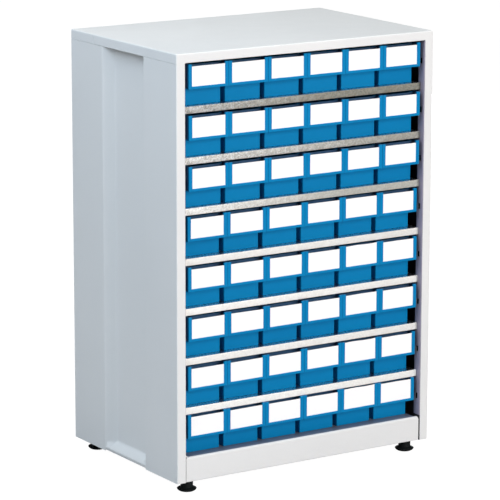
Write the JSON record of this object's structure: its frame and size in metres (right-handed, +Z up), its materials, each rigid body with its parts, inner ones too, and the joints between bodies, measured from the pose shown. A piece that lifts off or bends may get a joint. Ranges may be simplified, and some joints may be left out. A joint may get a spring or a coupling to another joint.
{
  "type": "parts organizer",
  "caption": "Freestanding sheet-steel cabinet with rows of pull-out plastic bins, each with a blank label holder, on levelling feet.",
  "frame": {"origin": "on the floor under the middle of the cabinet", "axes": "+Z up, front with the bins towards -Y, +X to the right seen from the front"},
  "size_m": [0.602, 0.404, 0.872],
  "materials": {
    "carcass_paint": "light grey powder coat, satin",
    "shelf_zinc": "galvanised sheet with a fine spangle",
    "bin_plastic": "blue injection-moulded plastic, satin",
    "foot_plastic": "black moulded plastic",
    "label_card": "blank white card"
  },
  "bodies": {
    "cabinet": {"carcass": "carcass_paint", "shelf_1": "shelf_zinc", "shelf_2": "shelf_zinc", "shelf_3": "shelf_zinc", "shelf_4": "shelf_zinc", "shelf_5": "shelf_zinc", "shelf_6": "shelf_zinc", "shelf_7": "shelf_zinc"},
    "foot_front_left": {"foot_front_left": "foot_plastic"},
    "foot_front_right": {"foot_front_right": "foot_plastic"},
    "foot_back_left": {"foot_back_left": "foot_plastic"},
    "foot_back_right": {"foot_back_right": "foot_plastic"},
    "drawer_r1c1": {"drawer_r1c1": "bin_plastic"},
    "drawer_r1c2": {"drawer_r1c2": "bin_plastic"},
    "drawer_r1c3": {"drawer_r1c3": "bin_plastic"},
    "drawer_r1c4": {"drawer_r1c4": "bin_plastic"},
    "drawer_r1c5": {"drawer_r1c5": "bin_plastic"},
    "drawer_r1c6": {"drawer_r1c6": "bin_plastic"},
    "drawer_r2c1": {"drawer_r2c1": "bin_plastic"},
    "drawer_r2c2": {"drawer_r2c2": "bin_plastic"},
    "drawer_r2c3": {"drawer_r2c3": "bin_plastic"},
    "drawer_r2c4": {"drawer_r2c4": "bin_plastic"},
    "drawer_r2c5": {"drawer_r2c5": "bin_plastic"},
    "drawer_r2c6": {"drawer_r2c6": "bin_plastic"},
    "drawer_r3c1": {"drawer_r3c1": "bin_plastic"},
    "drawer_r3c2": {"drawer_r3c2": "bin_plastic"},
    "drawer_r3c3": {"drawer_r3c3": "bin_plastic"},
    "drawer_r3c4": {"drawer_r3c4": "bin_plastic"},
    "drawer_r3c5": {"drawer_r3c5": "bin_plastic"},
    "drawer_r3c6": {"drawer_r3c6": "bin_plastic"},
    "drawer_r4c1": {"drawer_r4c1": "bin_plastic"},
    "drawer_r4c2": {"drawer_r4c2": "bin_plastic"},
    "drawer_r4c3": {"drawer_r4c3": "bin_plastic"},
    "drawer_r4c4": {"drawer_r4c4": "bin_plastic"},
    "drawer_r4c5": {"drawer_r4c5": "bin_plastic"},
    "drawer_r4c6": {"drawer_r4c6": "bin_plastic"},
    "drawer_r5c1": {"drawer_r5c1": "bin_plastic"},
    "drawer_r5c2": {"drawer_r5c2": "bin_plastic"},
    "drawer_r5c3": {"drawer_r5c3": "bin_plastic"},
    "drawer_r5c4": {"drawer_r5c4": "bin_plastic"},
    "drawer_r5c5": {"drawer_r5c5": "bin_plastic"},
    "drawer_r5c6": {"drawer_r5c6": "bin_plastic"},
    "drawer_r6c1": {"drawer_r6c1": "bin_plastic"},
    "drawer_r6c2": {"drawer_r6c2": "bin_plastic"},
    "drawer_r6c3": {"drawer_r6c3": "bin_plastic"},
    "drawer_r6c4": {"drawer_r6c4": "bin_plastic"},
    "drawer_r6c5": {"drawer_r6c5": "bin_plastic"},
    "drawer_r6c6": {"drawer_r6c6": "bin_plastic"},
    "drawer_r7c1": {"drawer_r7c1": "bin_plastic"},
    "drawer_r7c2": {"drawer_r7c2": "bin_plastic"},
    "drawer_r7c3": {"drawer_r7c3": "bin_plastic"},
    "drawer_r7c4": {"drawer_r7c4": "bin_plastic"},
    "drawer_r7c5": {"drawer_r7c5": "bin_plastic"},
    "drawer_r7c6": {"drawer_r7c6": "bin_plastic"},
    "drawer_r8c1": {"drawer_r8c1": "bin_plastic"},
    "drawer_r8c2": {"drawer_r8c2": "bin_plastic"},
    "drawer_r8c3": {"drawer_r8c3": "bin_plastic"},
    "drawer_r8c4": {"drawer_r8c4": "bin_plastic"},
    "drawer_r8c5": {"drawer_r8c5": "bin_plastic"},
    "drawer_r8c6": {"drawer_r8c6": "bin_plastic"}
  },
  "joints": [
    {"name": "foot_front_left_screw", "type": "slide", "parent": "cabinet", "child": "foot_front_left", "axis": [0, 0, 1], "range_m": [-0.012, 0]},
    {"name": "foot_front_right_screw", "type": "slide", "parent": "cabinet", "child": "foot_front_right", "axis": [0, 0, 1], "range_m": [-0.012, 0]},
    {"name": "foot_back_left_screw", "type": "slide", "parent": "cabinet", "child": "foot_back_left", "axis": [0, 0, 1], "range_m": [-0.012, 0]},
    {"name": "foot_back_right_screw", "type": "slide", "parent": "cabinet", "child": "foot_back_right", "axis": [0, 0, 1], "range_m": [-0.012, 0]},
    {"name": "drawer_r1c1_slide", "type": "slide", "parent": "cabinet", "child": "drawer_r1c1", "axis": [0, -1, 0], "range_m": [-0.007, 0.3]},
    {"name": "drawer_r1c2_slide", "type": "slide", "parent": "cabinet", "child": "drawer_r1c2", "axis": [0, -1, 0], "range_m": [-0.007, 0.3]},
    {"name": "drawer_r1c3_slide", "type": "slide", "parent": "cabinet", "child": "drawer_r1c3", "axis": [0, -1, 0], "range_m": [-0.007, 0.3]},
    {"name": "drawer_r1c4_slide", "type": "slide", "parent": "cabinet", "child": "drawer_r1c4", "axis": [0, -1, 0], "range_m": [-0.007, 0.3]},
    {"name": "drawer_r1c5_slide", "type": "slide", "parent": "cabinet", "child": "drawer_r1c5", "axis": [0, -1, 0], "range_m": [-0.007, 0.3]},
    {"name": "drawer_r1c6_slide", "type": "slide", "parent": "cabinet", "child": "drawer_r1c6", "axis": [0, -1, 0], "range_m": [-0.007, 0.3]},
    {"name": "drawer_r2c1_slide", "type": "slide", "parent": "cabinet", "child": "drawer_r2c1", "axis": [0, -1, 0], "range_m": [-0.008, 0.3]},
    {"name": "drawer_r2c2_slide", "type": "slide", "parent": "cabinet", "child": "drawer_r2c2", "axis": [0, -1, 0], "range_m": [-0.008, 0.3]},
    {"name": "drawer_r2c3_slide", "type": "slide", "parent": "cabinet", "child": "drawer_r2c3", "axis": [0, -1, 0], "range_m": [-0.008, 0.3]},
    {"name": "drawer_r2c4_slide", "type": "slide", "parent": "cabinet", "child": "drawer_r2c4", "axis": [0, -1, 0], "range_m": [-0.008, 0.3]},
    {"name": "drawer_r2c5_slide", "type": "slide", "parent": "cabinet", "child": "drawer_r2c5", "axis": [0, -1, 0], "range_m": [-0.008, 0.3]},
    {"name": "drawer_r2c6_slide", "type": "slide", "parent": "cabinet", "child": "drawer_r2c6", "axis": [0, -1, 0], "range_m": [-0.008, 0.3]},
    {"name": "drawer_r3c1_slide", "type": "slide", "parent": "cabinet", "child": "drawer_r3c1", "axis": [0, -1, 0], "range_m": [-0.008, 0.3]},
    {"name": "drawer_r3c2_slide", "type": "slide", "parent": "cabinet", "child": "drawer_r3c2", "axis": [0, -1, 0], "range_m": [-0.008, 0.3]},
    {"name": "drawer_r3c3_slide", "type": "slide", "parent": "cabinet", "child": "drawer_r3c3", "axis": [0, -1, 0], "range_m": [-0.008, 0.3]},
    {"name": "drawer_r3c4_slide", "type": "slide", "parent": "cabinet", "child": "drawer_r3c4", "axis": [0, -1, 0], "range_m": [-0.008, 0.3]},
    {"name": "drawer_r3c5_slide", "type": "slide", "parent": "cabinet", "child": "drawer_r3c5", "axis": [0, -1, 0], "range_m": [-0.008, 0.3]},
    {"name": "drawer_r3c6_slide", "type": "slide", "parent": "cabinet", "child": "drawer_r3c6", "axis": [0, -1, 0], "range_m": [-0.008, 0.3]},
    {"name": "drawer_r4c1_slide", "type": "slide", "parent": "cabinet", "child": "drawer_r4c1", "axis": [0, -1, 0], "range_m": [-0.002, 0.3]},
    {"name": "drawer_r4c2_slide", "type": "slide", "parent": "cabinet", "child": "drawer_r4c2", "axis": [0, -1, 0], "range_m": [-0.002, 0.3]},
    {"name": "drawer_r4c3_slide", "type": "slide", "parent": "cabinet", "child": "drawer_r4c3", "axis": [0, -1, 0], "range_m": [-0.002, 0.3]},
    {"name": "drawer_r4c4_slide", "type": "slide", "parent": "cabinet", "child": "drawer_r4c4", "axis": [0, -1, 0], "range_m": [-0.002, 0.3]},
    {"name": "drawer_r4c5_slide", "type": "slide", "parent": "cabinet", "child": "drawer_r4c5", "axis": [0, -1, 0], "range_m": [-0.002, 0.3]},
    {"name": "drawer_r4c6_slide", "type": "slide", "parent": "cabinet", "child": "drawer_r4c6", "axis": [0, -1, 0], "range_m": [-0.002, 0.3]},
    {"name": "drawer_r5c1_slide", "type": "slide", "parent": "cabinet", "child": "drawer_r5c1", "axis": [0, -1, 0], "range_m": [-0.004, 0.3]},
    {"name": "drawer_r5c2_slide", "type": "slide", "parent": "cabinet", "child": "drawer_r5c2", "axis": [0, -1, 0], "range_m": [-0.004, 0.3]},
    {"name": "drawer_r5c3_slide", "type": "slide", "parent": "cabinet", "child": "drawer_r5c3", "axis": [0, -1, 0], "range_m": [-0.004, 0.3]},
    {"name": "drawer_r5c4_slide", "type": "slide", "parent": "cabinet", "child": "drawer_r5c4", "axis": [0, -1, 0], "range_m": [-0.004, 0.3]},
    {"name": "drawer_r5c5_slide", "type": "slide", "parent": "cabinet", "child": "drawer_r5c5", "axis": [0, -1, 0], "range_m": [-0.004, 0.3]},
    {"name": "drawer_r5c6_slide", "type": "slide", "parent": "cabinet", "child": "drawer_r5c6", "axis": [0, -1, 0], "range_m": [-0.004, 0.3]},
    {"name": "drawer_r6c1_slide", "type": "slide", "parent": "cabinet", "child": "drawer_r6c1", "axis": [0, -1, 0], "range_m": [-0.005, 0.3]},
    {"name": "drawer_r6c2_slide", "type": "slide", "parent": "cabinet", "child": "drawer_r6c2", "axis": [0, -1, 0], "range_m": [-0.005, 0.3]},
    {"name": "drawer_r6c3_slide", "type": "slide", "parent": "cabinet", "child": "drawer_r6c3", "axis": [0, -1, 0], "range_m": [-0.005, 0.3]},
    {"name": "drawer_r6c4_slide", "type": "slide", "parent": "cabinet", "child": "drawer_r6c4", "axis": [0, -1, 0], "range_m": [-0.005, 0.3]},
    {"name": "drawer_r6c5_slide", "type": "slide", "parent": "cabinet", "child": "drawer_r6c5", "axis": [0, -1, 0], "range_m": [-0.005, 0.3]},
    {"name": "drawer_r6c6_slide", "type": "slide", "parent": "cabinet", "child": "drawer_r6c6", "axis": [0, -1, 0], "range_m": [-0.005, 0.3]},
    {"name": "drawer_r7c1_slide", "type": "slide", "parent": "cabinet", "child": "drawer_r7c1", "axis": [0, -1, 0], "range_m": [-0.003, 0.3]},
    {"name": "drawer_r7c2_slide", "type": "slide", "parent": "cabinet", "child": "drawer_r7c2", "axis": [0, -1, 0], "range_m": [-0.003, 0.3]},
    {"name": "drawer_r7c3_slide", "type": "slide", "parent": "cabinet", "child": "drawer_r7c3", "axis": [0, -1, 0], "range_m": [-0.003, 0.3]},
    {"name": "drawer_r7c4_slide", "type": "slide", "parent": "cabinet", "child": "drawer_r7c4", "axis": [0, -1, 0], "range_m": [-0.003, 0.3]},
    {"name": "drawer_r7c5_slide", "type": "slide", "parent": "cabinet", "child": "drawer_r7c5", "axis": [0, -1, 0], "range_m": [-0.003, 0.3]},
    {"name": "drawer_r7c6_slide", "type": "slide", "parent": "cabinet", "child": "drawer_r7c6", "axis": [0, -1, 0], "range_m": [-0.003, 0.3]},
    {"name": "drawer_r8c1_slide", "type": "slide", "parent": "cabinet", "child": "drawer_r8c1", "axis": [0, -1, 0], "range_m": [-0.002, 0.3]},
    {"name": "drawer_r8c2_slide", "type": "slide", "parent": "cabinet", "child": "drawer_r8c2", "axis": [0, -1, 0], "range_m": [-0.002, 0.3]},
    {"name": "drawer_r8c3_slide", "type": "slide", "parent": "cabinet", "child": "drawer_r8c3", "axis": [0, -1, 0], "range_m": [-0.002, 0.3]},
    {"name": "drawer_r8c4_slide", "type": "slide", "parent": "cabinet", "child": "drawer_r8c4", "axis": [0, -1, 0], "range_m": [-0.002, 0.3]},
    {"name": "drawer_r8c5_slide", "type": "slide", "parent": "cabinet", "child": "drawer_r8c5", "axis": [0, -1, 0], "range_m": [-0.002, 0.3]},
    {"name": "drawer_r8c6_slide", "type": "slide", "parent": "cabinet", "child": "drawer_r8c6", "axis": [0, -1, 0], "range_m": [-0.002, 0.3]}
  ]
}
